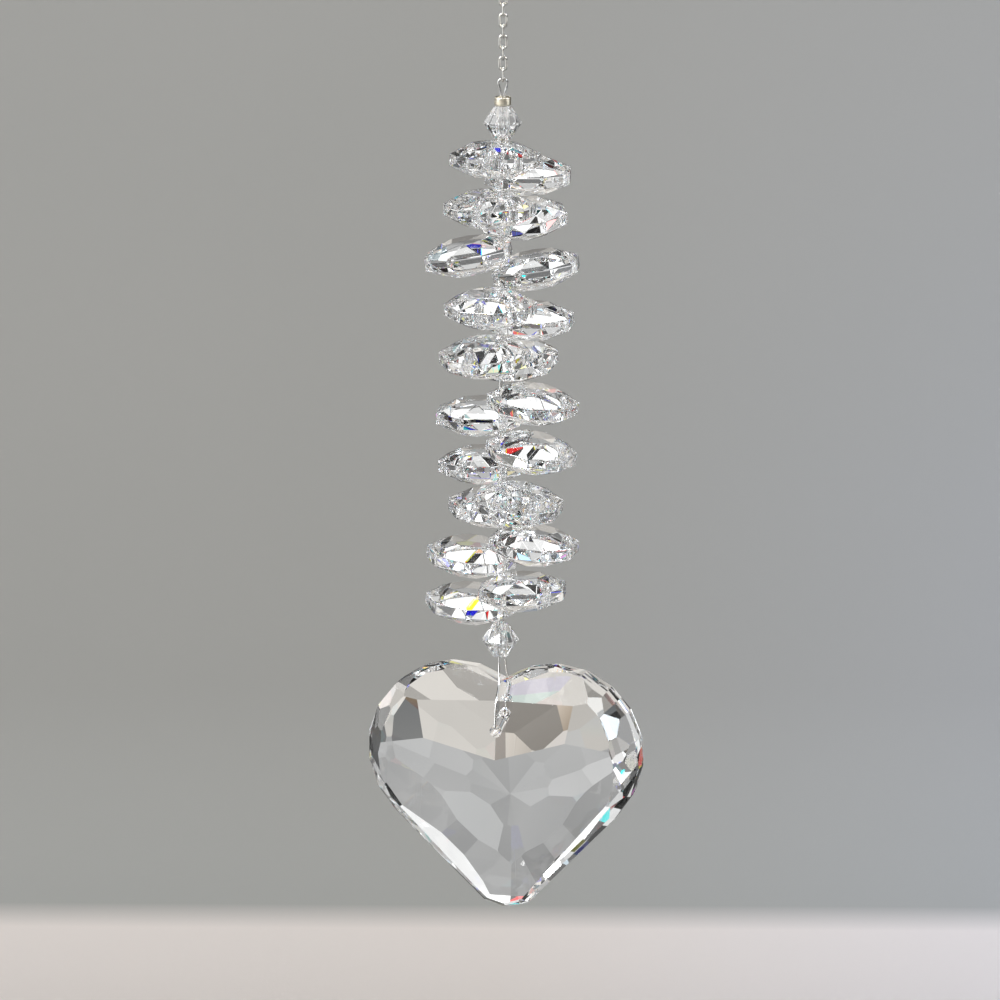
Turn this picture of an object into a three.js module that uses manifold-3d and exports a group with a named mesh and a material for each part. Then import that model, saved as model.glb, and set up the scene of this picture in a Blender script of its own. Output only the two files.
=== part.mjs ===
// Crystal suncatcher: a heart prism under a column of crystal beads, hung on a fine chain.
// Millimetres, +Z up. The origin is the top of the hanging ring's hole, where a hook bears.
// The heart's front faces -Y, and everything hangs down the Z axis.

import * as THREE from 'three';
import { mergeVertices } from 'three/addons/utils/BufferGeometryUtils.js';
import Module from 'manifold-3d';

const wasm = await Module();
wasm.setup();

// Hanging ring and chain
const ringOuter = 9;
const ringWire = 0.6;
const ringSides = 8;
const ringSteps = 32;
const linkCount = 9;
const linkWidth = 1.5;
const linkWire = 0.38;
const linkPitch = 1.75;
const linkPlay = 0.04;
const linkBendSteps = 6;

// Threading wire: one closed loop, doubled through the beads
const wire = 0.38;
const strandApart = 0.4;
const eyeHeight = 3.2;
const eyeWidth = 1.9;
const eyeSteps = 10;
const wireSides = 6;
const wireClear = 0.6;
const wireRests = 7;
const wireLead = 0.3;

// Collar that is pressed on the wire under its top eye
const collarHeight = 1.4;
const collarWidth = 2.7;
const collarBore = 1.0;
const collarEasing = 0.25;
const collarSides = 16;

// Bicone beads at both ends of the column
const biconeWidth = 6.3;
const biconeHeight = 5.5;
const biconeEnd = 2.7;
const biconeSides = 8;
const beadPlay = 0.06;

// Octagon beads: a table each side, slanting facets, an upright rim, and a hole near each end
const octagonFlats = 14;
const octagonThick = 5.4;
const octagonTable = 7.2;
const octagonRim = 1.9;
const octagonHoleIn = 1.4;
const holeWidth = 1.6;
const holeSides = 8;

// Heart
const heartWidth = 46.5;
const lobeRadius = 14.8;
const heartRim = 4;
const sideAngle = 45;
const lobeFacets = 9;
const sideFacets = 4;
const tipFlat = 3.8;
const tipDrop = 27.6;
const heartTurn = 15;
const heartRoll = 2;
const heartShift = 0.8;
const heartHole = 2.0;
const heartHoleUp = 3.9;
const heartHoleDrop = 11.5;
const mouthRise = 0.4;
const mouthOut = 0.5;
const mouthIn = 1;

// The beads from the top down: the way each one points, seen from above with 0 to the right
// and -90 to the front, and how far its outer end droops (plus) or rises (minus), in degrees
const octagonPlaces = [
  { turn: -102, droop: -3 }, { turn: 43, droop: -1 },
  { turn: -111, droop: 0 }, { turn: 53, droop: -8 },
  { turn: 176, droop: 10 }, { turn: -4, droop: -10 },
  { turn: -109, droop: 3 }, { turn: 36, droop: -1 },
  { turn: -119, droop: 6 }, { turn: 71, droop: -10 },
  { turn: -24, droop: 6 }, { turn: 129, droop: 0 },
  { turn: -28, droop: 8 }, { turn: 121, droop: 2 },
  { turn: -61, droop: 9 }, { turn: 103, droop: -3 },
  { turn: -14, droop: 4 }, { turn: 149, droop: -6 },
  { turn: -50, droop: -3 }, { turn: 152, droop: -5 },
];

const crystal = new THREE.MeshStandardMaterial({ color: 0xf2f4f5, roughness: 0.02, metalness: 0 });
const steel = new THREE.MeshStandardMaterial({ color: 0xc4c4c6, roughness: 0.22, metalness: 1 });
const gilt = new THREE.MeshStandardMaterial({ color: 0xcbb083, roughness: 0.3, metalness: 1 });

const radians = THREE.MathUtils.degToRad;
const axisX = new THREE.Vector3(1, 0, 0);
const axisY = new THREE.Vector3(0, 1, 0);
const axisZ = new THREE.Vector3(0, 0, 1);

// Solids: from a geometry to one that can be cut, and back

function solidOf(geometry) {
  const bare = geometry.clone();
  bare.deleteAttribute('normal');
  bare.deleteAttribute('uv');
  const merged = mergeVertices(bare, 1e-5);
  return new wasm.Manifold(new wasm.Mesh({
    numProp: 3,
    vertProperties: new Float32Array(merged.attributes.position.array),
    triVerts: new Uint32Array(merged.index.array),
  }));
}

function geometryOf(solid) {
  const mesh = solid.getMesh();
  const geometry = new THREE.BufferGeometry();
  geometry.setAttribute('position', new THREE.BufferAttribute(mesh.vertProperties, 3));
  geometry.setIndex(new THREE.BufferAttribute(mesh.triVerts, 1));
  return geometry;
}

function drill(width, length) {
  const geometry = new THREE.CylinderGeometry(width / 2, width / 2, length, holeSides);
  geometry.rotateX(Math.PI / 2);
  return geometry;
}

// A closed wire: a round section carried along a closed run of points, turned as little as
// possible from one point to the next, with the twist left at the end shared out evenly

function closedWire(points, width, sides) {
  const count = points.length;
  const tangents = points.map((point, i) => {
    const before = points[(i + count - 1) % count];
    const after = points[(i + 1) % count];
    const into = point.clone().sub(before).normalize();
    return into.add(after.clone().sub(point).normalize()).normalize();
  });
  const across = [new THREE.Vector3().crossVectors(tangents[0], axisY).normalize()];
  if (across[0].lengthSq() < 0.5) across[0].crossVectors(tangents[0], axisX).normalize();
  for (let i = 1; i <= count; i += 1) {
    const turn = new THREE.Quaternion().setFromUnitVectors(tangents[i - 1], tangents[i % count]);
    across.push(across[i - 1].clone().applyQuaternion(turn));
  }
  const side = new THREE.Vector3().crossVectors(tangents[0], across[0]);
  const twist = Math.atan2(across[count].dot(side), across[count].dot(across[0]));
  const positions = [];
  const index = [];
  points.forEach((point, i) => {
    const first = across[i].clone().applyAxisAngle(tangents[i], -twist * i / count);
    for (let j = 0; j < sides; j += 1) {
      const spoke = first.clone().applyAxisAngle(tangents[i], 2 * Math.PI * j / sides);
      positions.push(...spoke.multiplyScalar(width / 2).add(point).toArray());
      const next = (i + 1) % count;
      const a = i * sides + j;
      const b = i * sides + (j + 1) % sides;
      const c = next * sides + j;
      const d = next * sides + (j + 1) % sides;
      index.push(a, b, c, b, d, c);
    }
  });
  const geometry = new THREE.BufferGeometry();
  geometry.setAttribute('position', new THREE.Float32BufferAttribute(positions, 3));
  geometry.setIndex(index);
  return geometry;
}

// Points round an arc in the plane of two directions, ends included

function arcPoints(centre, toStart, toMiddle, radius, from, to, steps) {
  return Array.from({ length: steps + 1 }, (_, i) => {
    const angle = radians(from + (to - from) * i / steps);
    return centre.clone()
      .addScaledVector(toStart, radius * Math.cos(angle))
      .addScaledVector(toMiddle, radius * Math.sin(angle));
  });
}

function mesh(name, geometry, material) {
  const made = new THREE.Mesh(geometry, material);
  made.name = name;
  return made;
}

// Hanging ring

function hangingRing() {
  const geometry = new THREE.TorusGeometry((ringOuter - ringWire) / 2, ringWire / 2,
    ringSides, ringSteps);
  const made = mesh('hanging_ring', geometry, steel);
  made.rotation.x = Math.PI / 2;
  made.position.z = ringWire - ringOuter / 2;
  return made;
}

// Chain: oval links, each a quarter turn from the last

function linkGeometry() {
  const bend = (linkWidth - linkWire) / 2;
  const half = (linkPitch + 2 * linkPlay + linkWire) / 2 - bend;
  const top = arcPoints(new THREE.Vector3(0, 0, half), axisX, axisZ, bend, 0, 180,
    linkBendSteps);
  const bottom = arcPoints(new THREE.Vector3(0, 0, -half), axisX, axisZ, bend, 180, 360,
    linkBendSteps);
  return closedWire([...top, ...bottom], linkWire, wireSides);
}

const ringFoot = 2 * ringWire - ringOuter;
const linkInsideTop = ringFoot + linkPlay;
const firstLink = linkInsideTop - (linkPitch + 2 * linkPlay) / 2;

function chainLinks() {
  const geometry = linkGeometry();
  return Array.from({ length: linkCount }, (_, i) => {
    const made = mesh(`chain_link_${String(i + 1).padStart(2, '0')}`, geometry, steel);
    made.rotation.z = i % 2 === 0 ? Math.PI / 2 : 0;
    made.position.z = firstLink - i * linkPitch;
    return made;
  });
}

const eyeInsideTop = firstLink - (linkCount - 0.5) * linkPitch;
const eyeTop = eyeInsideTop + wire;
const collarTop = eyeTop - eyeHeight;

// Collar

function collar() {
  const outside = collarWidth / 2;
  const half = collarHeight / 2;
  const profile = [
    [collarBore / 2, -half], [outside - collarEasing, -half], [outside, -half + collarEasing],
    [outside, half - collarEasing], [outside - collarEasing, half], [collarBore / 2, half],
    [collarBore / 2, -half],
  ].map(([r, z]) => new THREE.Vector2(r, z));
  const geometry = new THREE.LatheGeometry(profile, collarSides);
  geometry.rotateX(Math.PI / 2);
  const made = mesh('crimp_collar', geometry, gilt);
  made.position.z = collarTop - half;
  return made;
}

// Bicone bead

function biconeGeometry() {
  const half = biconeHeight / 2;
  const profile = [
    [holeWidth / 2, -half], [biconeEnd / 2, -half], [biconeWidth / 2, 0], [biconeEnd / 2, half],
    [holeWidth / 2, half], [holeWidth / 2, -half],
  ].map(([r, z]) => new THREE.Vector2(r, z));
  const geometry = new THREE.LatheGeometry(profile, biconeSides);
  geometry.rotateX(Math.PI / 2);
  return geometry;
}

// Octagon bead, with the hole it hangs by at the origin and its spare hole out along +X. Each
// table's corners point at the middles of the rim's sides, so that triangles run between them

function octagonRing(flats, height, turn) {
  const radius = flats / 2 / Math.cos(Math.PI / 8);
  return Array.from({ length: 8 }, (_, i) => {
    const angle = Math.PI * (2 * i + turn) / 8;
    return [radius * Math.cos(angle), radius * Math.sin(angle), height];
  });
}

function octagonSolid() {
  const rings = [
    octagonRing(octagonTable, -octagonThick / 2, 0),
    octagonRing(octagonFlats, -octagonRim / 2, 1),
    octagonRing(octagonFlats, octagonRim / 2, 1),
    octagonRing(octagonTable, octagonThick / 2, 0),
  ];
  const index = [];
  for (let i = 0; i < 8; i += 1) {
    const j = (i + 1) % 8;
    const h = (i + 7) % 8;
    index.push(i, j, 8 + i, i, 8 + i, 8 + h);
    index.push(8 + i, 8 + j, 16 + j, 8 + i, 16 + j, 16 + i);
    index.push(16 + i, 24 + j, 24 + i, 16 + h, 16 + i, 24 + i);
  }
  for (let i = 1; i < 7; i += 1) {
    index.push(0, i + 1, i);
    index.push(24, 24 + i, 24 + i + 1);
  }
  const geometry = new THREE.BufferGeometry();
  geometry.setAttribute('position', new THREE.Float32BufferAttribute(rings.flat(2), 3));
  geometry.setIndex(index);
  geometry.translate(octagonFlats / 2 - octagonHoleIn, 0, 0);
  const hole = solidOf(drill(holeWidth, 2 * octagonThick));
  const spareHole = hole.translate([octagonFlats - 2 * octagonHoleIn, 0, 0]);
  return solidOf(geometry).subtract(hole).subtract(spareHole);
}

function octagonPlace(place, height) {
  const turned = new THREE.Quaternion().setFromAxisAngle(axisZ, radians(place.turn));
  const drooped = new THREE.Quaternion().setFromAxisAngle(axisY, radians(place.droop));
  return new THREE.Matrix4().compose(new THREE.Vector3(0, 0, height),
    turned.multiply(drooped), new THREE.Vector3(1, 1, 1));
}

// The height at which a bead just hangs clear under the one above it, found by halving

function heightUnder(solid, place, above, aboveHeight) {
  let clear = aboveHeight - octagonFlats;
  let hit = aboveHeight;
  while (hit - clear > 0.01) {
    const middle = (clear + hit) / 2;
    const trial = solid.transform(octagonPlace(place, middle).elements);
    if (trial.intersect(above).isEmpty()) clear = middle;
    else hit = middle;
  }
  return clear - beadPlay;
}

// The column: a bicone, the octagons one under another, and a bicone

function beadColumn() {
  const bicone = biconeGeometry();
  const biconeSolid = solidOf(bicone);
  const octagon = octagonSolid();
  const geometry = geometryOf(octagon);
  const topBicone = mesh('top_bicone_bead', bicone, crystal);
  topBicone.position.z = collarTop - collarHeight - beadPlay - biconeHeight / 2;
  const made = [topBicone];
  let height = topBicone.position.z;
  let above = biconeSolid.translate([0, 0, height]);
  octagonPlaces.forEach((place, i) => {
    height = heightUnder(octagon, place, above, height);
    const matrix = octagonPlace(place, height);
    above = octagon.transform(matrix.elements);
    const bead = mesh(`octagon_bead_${String(i + 1).padStart(2, '0')}`, geometry, crystal);
    bead.applyMatrix4(matrix);
    made.push(bead);
  });
  const level = { turn: 0, droop: 0 };
  const bottomBicone = mesh('bottom_bicone_bead', bicone, crystal);
  bottomBicone.position.z = heightUnder(biconeSolid, level, above, height);
  made.push(bottomBicone);
  return made;
}

// Heart. It is cut as a lapidary cuts it, one plane for each facet. The right half, which is
// convex, is cut out of a block. The left half is its mirror image, and the two are joined.
// In the heart's own frame x is to the right, y is up and z is to the front, and y is 0 at
// the lobes' widest level. A slope is the fall of a facet, towards the front or the back, for
// each millimetre across. The back falls from its peak to the rim in three tiers of facets.
// The rim has a double row of facets on each face. Along a straight side the back's inner row
// turns, from its one end to its other, by up to sideTurn degrees towards that end

const lobeCentre = new THREE.Vector2(heartWidth / 2 - lobeRadius, -0.9);
const frontPeak = 6.8;
const frontMeet = -0.8;
const lowerSlope = 0.11;
const valleyRise = 0.1;
const valleySlope = 0.24;
const shoulderPlace = new THREE.Vector2(12.4, 4.1);
const shoulderSlope = new THREE.Vector2(0.05, 0.21);
const browLevel = 8.8;
const browSlope = 1.0;
const bevels = [
  { face: 1, slope: 1.9, inner: new THREE.Vector2(0.9, 1.6), innerSlope: 1.35, sideTurn: 0 },
  { face: -1, slope: 0.95, inner: new THREE.Vector2(1.8, 1.9), innerSlope: 0.5, sideTurn: 16 },
];
const backMeet = -8.5;
const backSteps = [
  { out: 0, depth: 7.5 }, { out: 0.3, depth: 6.95 }, { out: 0.6, depth: 5.9 },
  { out: 1, depth: 4.2 },
];
const backTurns = [
  [-90, -58, -24, 10, 44, 78], [-76, -44, -12, 26, 64], [-90, -60, -32, -4, 24, 54, 84],
];
const rimCentre = new THREE.Vector3(6, -3, 0);
const middlePlaneReach = 1e-3;

function outlineCorners() {
  const start = 180 - Math.acos(lobeCentre.x / lobeRadius) * 180 / Math.PI;
  const corners = [];
  for (let i = 0; i <= lobeFacets; i += 1) {
    const angle = radians(start + (-sideAngle - start) * i / lobeFacets);
    corners.push(new THREE.Vector2(Math.cos(angle), Math.sin(angle))
      .multiplyScalar(lobeRadius).add(lobeCentre));
  }
  const sideTop = corners[lobeFacets];
  const tipY = sideTop.y - (sideTop.x - tipFlat) / Math.tan(radians(sideAngle));
  const sideFoot = new THREE.Vector2(tipFlat, tipY);
  for (let i = 1; i <= sideFacets; i += 1) {
    corners.push(sideTop.clone().lerp(sideFoot, i / sideFacets));
  }
  corners.push(new THREE.Vector2(0, -tipDrop));
  return corners;
}

// A cutting plane through a point, falling along x and y by its slopes, on the front or back

function facetPlane(point, slopeX, slopeY, face) {
  const normal = new THREE.Vector3(slopeX, slopeY, face).normalize();
  return { normal, offset: normal.dot(point) };
}

function rimPlanes() {
  const corners = outlineCorners();
  const sideLength = corners[lobeFacets].distanceTo(corners[lobeFacets + sideFacets]);
  const planes = [];
  for (let i = 0; i + 1 < corners.length; i += 1) {
    const along = corners[i + 1].clone().sub(corners[i]).normalize();
    const out = new THREE.Vector3(-along.y, along.x, 0);
    const edge = new THREE.Vector3(corners[i].x, corners[i].y, 0);
    if (out.dot(edge.clone().sub(rimCentre)) < 0) out.negate();
    planes.push({ normal: out, offset: out.dot(edge) });
    for (const { face, slope } of bevels) {
      const brink = edge.clone().setZ(face * heartRim / 2);
      planes.push(facetPlane(brink, slope * out.x, slope * out.y, face));
    }
    const second = corners[i + 1];
    const middleOut = new THREE.Vector3(second.x - lobeCentre.x, second.y - lobeCentre.y, 0);
    if (i >= lobeFacets) middleOut.copy(out);
    middleOut.normalize();
    const corner = new THREE.Vector3(second.x, second.y, heartRim / 2);
    const onSide = i >= lobeFacets && i < lobeFacets + sideFacets;
    const fromMiddle = onSide ? (i + 1 - lobeFacets) / sideFacets - 0.5 : 0;
    for (const { face, inner, innerSlope, sideTurn } of bevels) {
      const toward = middleOut.clone().applyAxisAngle(axisZ, -radians(2 * fromMiddle * sideTurn));
      const bow = innerSlope * Math.sin(radians(sideTurn)) * sideLength * fromMiddle ** 2;
      const point = corner.clone().addScaledVector(middleOut, -inner.x)
        .setZ(face * (heartRim / 2 + inner.y - bow));
      planes.push(facetPlane(point, innerSlope * toward.x, innerSlope * toward.y, face));
    }
  }
  return planes;
}

function frontPlanes() {
  const meet = new THREE.Vector3(0, frontMeet, frontPeak);
  const shoulder = new THREE.Vector3(shoulderPlace.x, shoulderPlace.y, 0);
  shoulder.z = frontPeak + valleyRise * shoulder.x - valleySlope * (shoulder.y - frontMeet);
  const brow = new THREE.Vector3(0, browLevel, 0);
  brow.z = frontPeak - valleySlope * (browLevel - frontMeet);
  return [
    facetPlane(meet, 0, -lowerSlope, 1),
    facetPlane(meet, -valleyRise, valleySlope, 1),
    facetPlane(shoulder, shoulderSlope.x, shoulderSlope.y, 1),
    facetPlane(brow, -valleyRise, browSlope, 1),
  ];
}

// A tier's depths are reached at shares of the way from the peak to the rim, as its facet faces

function backPlanes() {
  const meet = new THREE.Vector3(0, backMeet, 0);
  const corners = outlineCorners().map((corner) => new THREE.Vector3(corner.x, corner.y, 0));
  return backTurns.flatMap((turns, tier) => turns.map((turn) => {
    const toward = axisX.clone().applyAxisAngle(axisZ, radians(turn));
    const reach = Math.max(...corners.map((corner) => corner.clone().sub(meet).dot(toward)));
    const inner = backSteps[tier];
    const outer = backSteps[tier + 1];
    const slope = (inner.depth - outer.depth) / (reach * (outer.out - inner.out));
    const point = meet.clone().addScaledVector(toward, reach * inner.out).setZ(-inner.depth);
    return facetPlane(point, slope * toward.x, slope * toward.y, -1);
  }));
}

// The middle plane's corners are set exactly on it, so that the two halves meet edge to edge

function heartHalf() {
  const block = new THREE.BoxGeometry(heartWidth, 2 * heartWidth, heartWidth);
  block.translate(heartWidth / 2, 0, 0);
  let half = solidOf(block);
  for (const plane of [...rimPlanes(), ...frontPlanes(), ...backPlanes()]) {
    half = half.trimByPlane(plane.normal.clone().negate().toArray(), -plane.offset);
  }
  const geometry = geometryOf(half);
  const position = geometry.attributes.position;
  for (let i = 0; i < position.count; i += 1) {
    if (Math.abs(position.getX(i)) < middlePlaneReach) position.setX(i, 0);
  }
  return solidOf(geometry);
}

function heartGeometry() {
  const half = heartHalf();
  const whole = half.add(half.mirror([1, 0, 0]));
  const hole = drill(heartHole, heartWidth);
  hole.translate(0, heartHoleUp, 0);
  const geometry = geometryOf(whole.subtract(solidOf(hole)));
  geometry.translate(0, -heartHoleUp, 0);
  return geometry;
}

const column = beadColumn();
const columnFoot = column[column.length - 1].position.z - biconeHeight / 2;
const heartHoleHeight = columnFoot - heartHoleDrop;

// The depth of the heart's front or back on its middle line, at a height

function middleDepth(y, face) {
  const depths = [...rimPlanes(), ...frontPlanes(), ...backPlanes()]
    .filter((plane) => plane.normal.z * face > 0)
    .map((plane) => (plane.offset - plane.normal.y * y) / plane.normal.z);
  return face * Math.min(...depths.map((depth) => depth * face));
}

function heartFrame() {
  const upright = new THREE.Matrix4().makeRotationX(Math.PI / 2);
  const roll = new THREE.Matrix4().makeRotationY(-radians(heartRoll));
  const turn = new THREE.Matrix4().makeRotationZ(-radians(heartTurn));
  const place = new THREE.Matrix4().makeTranslation(heartShift, 0, heartHoleHeight);
  return place.multiply(turn).multiply(roll).multiply(upright);
}

function heart() {
  const made = mesh('heart_prism', heartGeometry(), crystal);
  made.applyMatrix4(heartFrame());
  return made;
}

// Threading wire: an eye through the last link, two strands side by side down the column, and
// a long loop that straddles the heart's top and passes through its hole

function threadingWire() {
  const bend = (eyeWidth - wire) / 2;
  const eyeCentre = new THREE.Vector3(0, 0, eyeTop - wire / 2 - bend);
  const eye = arcPoints(eyeCentre, axisX, axisZ, bend, -20, 200, eyeSteps);
  const side = strandApart / 2;
  const frame = heartFrame();
  const inHeart = (x, y, z) => new THREE.Vector3(x, y, z).applyMatrix4(frame);
  const notch = lobeCentre.y + Math.sqrt(lobeRadius ** 2 - lobeCentre.x ** 2);
  const mouth = heartHoleUp + heartHole / 2 + wire / 2;
  const over = (face) => Array.from({ length: wireRests }, (_, i) => {
    const y = notch + (mouth - notch) * i / (wireRests - 1);
    return inHeart(0, y - heartHoleUp, middleDepth(y, face) + face * wireClear);
  });
  const mouthPoint = (face, y, out) => inHeart(0, y, middleDepth(heartHoleUp, face) + face * out);
  const inHole = [
    mouthPoint(1, mouthRise, mouthOut), mouthPoint(1, 0, -mouthIn),
    mouthPoint(-1, 0, -mouthIn), mouthPoint(-1, mouthRise, mouthOut),
  ];
  const points = [
    ...eye,
    new THREE.Vector3(-side, 0, collarTop + wireLead),
    new THREE.Vector3(-side, 0, collarTop - collarHeight),
    new THREE.Vector3(-side, 0, columnFoot + wireLead),
    ...over(1), ...inHole, ...over(-1).reverse(),
    new THREE.Vector3(side, 0, columnFoot + wireLead),
    new THREE.Vector3(side, 0, collarTop - collarHeight),
    new THREE.Vector3(side, 0, collarTop + wireLead),
  ];
  return mesh('threading_wire', closedWire(points, wire, wireSides), steel);
}

const suncatcher = new THREE.Group();
suncatcher.add(hangingRing(), ...chainLinks(), threadingWire(), collar(), ...column, heart());

export default suncatcher;
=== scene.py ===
"""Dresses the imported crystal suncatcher: its beads, heart, wire, chain and collar.

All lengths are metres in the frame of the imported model: +Z up, the origin at the top of the
hanging ring's hole, and the heart's front towards -Y.
"""

import logging
import math
from dataclasses import dataclass, field
from enum import Enum

import bmesh
import bpy
import numpy as np
from mathutils import Matrix, Vector


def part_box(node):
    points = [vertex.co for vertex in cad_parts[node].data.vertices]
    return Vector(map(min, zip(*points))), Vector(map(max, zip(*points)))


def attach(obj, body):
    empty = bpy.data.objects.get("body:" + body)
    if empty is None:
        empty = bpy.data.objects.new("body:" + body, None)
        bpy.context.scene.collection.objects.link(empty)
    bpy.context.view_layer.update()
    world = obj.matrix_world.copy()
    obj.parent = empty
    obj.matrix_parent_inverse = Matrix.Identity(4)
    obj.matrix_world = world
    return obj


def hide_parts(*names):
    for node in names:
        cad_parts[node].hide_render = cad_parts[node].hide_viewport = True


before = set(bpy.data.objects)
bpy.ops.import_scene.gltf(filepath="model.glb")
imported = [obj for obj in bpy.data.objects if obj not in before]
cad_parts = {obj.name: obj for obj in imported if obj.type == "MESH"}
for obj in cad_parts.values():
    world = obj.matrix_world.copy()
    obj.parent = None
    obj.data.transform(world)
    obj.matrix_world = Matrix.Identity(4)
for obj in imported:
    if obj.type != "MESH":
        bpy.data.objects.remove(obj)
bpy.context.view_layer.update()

# Short names for types
Piece = bpy.types.Object
Material = bpy.types.Material
Node = bpy.types.Node
Socket = bpy.types.NodeSocket
Triple = tuple[float, float, float]
Faces = list[list[int]]
Shape = tuple[np.ndarray, Faces]

LOG = logging.getLogger("suncatcher")
MM = 0.001

# Corners nearer than this are one corner, and faces within this angle of each other are flat
MERGE_REACH = 0.002 * MM
FLAT_WITHIN = math.radians(0.6)
# Faces that drilling has split meet at less than this angle, in radians
SPLIT_WITHIN = 0.008
# A drilled hole's wall lies within this share of its radius, and nearly along its axis
WALL_REACH = 1.02
WALL_TILT = 0.3
# Facets that meet at more than this angle, in degrees, have their edge eased
BEAD_EDGE_ANGLE = 8.0
HEART_EDGE_ANGLE = 4.0
# The crystal's index of refraction
CRYSTAL_BEND = 1.56
# How many walls of crystal one ray may pass, and how often it may be mirrored
CRYSTAL_WALLS = 28
MIRRORINGS = 12
# The height of the suncatcher's middle, where the lights point
MIDDLE_HEIGHT = -0.09


# Small tools for meshes


def grid_faces(rows: int, columns: int, wrap_rows: bool) -> np.ndarray:
    """Lists the four corners of each cell of a grid whose columns close into rings.

    Args:
        rows: How many rings the grid has.
        columns: How many points each ring has.
        wrap_rows: Whether the last ring joins the first.

    Returns:
        One row of four point numbers for each cell.
    """
    last = rows if wrap_rows else rows - 1
    row, column = np.meshgrid(np.arange(last), np.arange(columns), indexing="ij")
    below = row * columns
    above = ((row + 1) % rows) * columns
    right = (column + 1) % columns
    return np.stack([below + column, below + right, above + right, above + column], -1).reshape(-1, 4)


def add_object(name: str, data: bpy.types.ID) -> Piece:
    """Makes an object from its data, at the origin, and links it to the scene."""
    made = bpy.data.objects.new(name, data)
    bpy.context.scene.collection.objects.link(made)
    return made


def new_piece(name: str, points: np.ndarray, faces: Faces, smooth: bool) -> Piece:
    """Makes an object at the origin from points and faces, with its faces turned outwards.

    Args:
        name: The piece's name.
        points: One row for each corner, in metres.
        faces: The corner numbers of each face.
        smooth: Whether its faces are shaded as one smooth surface.

    Returns:
        The new object, linked to the scene.
    """
    mesh = bpy.data.meshes.new(name)
    mesh.from_pydata(points.tolist(), [], faces)
    worker = bmesh.new()
    worker.from_mesh(mesh)
    bmesh.ops.recalc_face_normals(worker, faces=worker.faces)
    worker.to_mesh(mesh)
    worker.free()
    mesh.polygons.foreach_set("use_smooth", np.full(len(mesh.polygons), smooth))
    return add_object(name, mesh)


def bake_modifiers(piece: Piece) -> None:
    """Puts what a piece's modifiers make into its own mesh, and takes the modifiers off."""
    shown = piece.evaluated_get(bpy.context.evaluated_depsgraph_get())
    baked = bpy.data.meshes.new_from_object(shown)
    piece.modifiers.clear()
    old = piece.data
    piece.data = baked
    bpy.data.meshes.remove(old)


def cad_copy(node: str, name: str) -> Piece:
    """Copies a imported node's mesh with its corners merged and its flat faces made whole.

    Args:
        node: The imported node's name.
        name: The copy's name.

    Returns:
        The copy, at the origin as the node is.
    """
    worker = bmesh.new()
    worker.from_mesh(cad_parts[node].data)
    bmesh.ops.remove_doubles(worker, verts=worker.verts, dist=MERGE_REACH)
    bmesh.ops.dissolve_limit(worker, angle_limit=FLAT_WITHIN, verts=worker.verts, edges=worker.edges)
    mesh = bpy.data.meshes.new(name)
    worker.to_mesh(mesh)
    worker.free()
    return add_object(name, mesh)


def ease_edges(piece: Piece, width: float, angle: float) -> None:
    """Takes the sharpness off a cut stone's edges with a narrow bevel of one flat strip.

    Args:
        piece: The stone.
        width: The bevel's width in metres.
        angle: The least angle between faces that is eased, in degrees.
    """
    bevel = piece.modifiers.new("eased_edges", "BEVEL")
    bevel.width = width
    bevel.segments = 1
    bevel.limit_method = "ANGLE"
    bevel.angle_limit = math.radians(angle)
    bake_modifiers(piece)


def join_flat_faces(piece: Piece) -> None:
    """Joins flat faces that the drilling split, so that only true facet edges are eased."""
    worker = bmesh.new()
    worker.from_mesh(piece.data)
    flat = []
    for edge in worker.edges:
        polished = all(face.material_index == 0 for face in edge.link_faces)
        if edge.is_manifold and polished and edge.calc_face_angle(1.0) < SPLIT_WITHIN:
            flat.append(edge)
    bmesh.ops.dissolve_edges(worker, edges=flat, use_verts=True)
    worker.to_mesh(piece.data)
    worker.free()


def bore(piece: Piece, start: Vector, end: Vector, radius: float, sides: int) -> None:
    """Drills a round hole through a stone, and marks its wall as the second finish.

    The wall is the faces that run along the hole's axis within its radius.

    Args:
        piece: The stone.
        start: A point on the hole's axis, outside the stone.
        end: A point on the axis beyond its other side.
        radius: The hole's radius.
        sides: How many flat strips make the round.
    """
    along = (end - start).normalized()
    across = along.orthogonal().normalized()
    other = along.cross(across)
    turn = 2 * np.pi * np.arange(sides) / sides
    ring = np.outer(np.cos(turn), across) + np.outer(np.sin(turn), other)
    points = np.concatenate([radius * ring + np.array(start), radius * ring + np.array(end)])
    faces = grid_faces(2, sides, False).tolist()
    faces.append(list(range(sides)))
    faces.append(list(range(sides, 2 * sides)))
    drill = new_piece("drill", points, faces, False)
    cut = piece.modifiers.new("bore", "BOOLEAN")
    cut.operation = "DIFFERENCE"
    cut.solver = "EXACT"
    cut.object = drill
    bake_modifiers(piece)
    bpy.data.objects.remove(drill)
    mesh = piece.data
    middles = np.empty(3 * len(mesh.polygons))
    mesh.polygons.foreach_get("center", middles)
    normals = np.empty(3 * len(mesh.polygons))
    mesh.polygons.foreach_get("normal", normals)
    from_start = middles.reshape(-1, 3) - np.array(start)
    axis = np.array(along)
    away = np.linalg.norm(from_start - np.outer(from_start @ axis, axis), axis=1)
    wall = (away < WALL_REACH * radius) & (np.abs(normals.reshape(-1, 3) @ axis) < WALL_TILT)
    finish = np.zeros(len(mesh.polygons), dtype=np.int32)
    mesh.polygons.foreach_get("material_index", finish)
    finish[wall] = 1
    mesh.polygons.foreach_set("material_index", finish)
    mesh.polygons.foreach_set("use_smooth", finish == 1)


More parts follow.
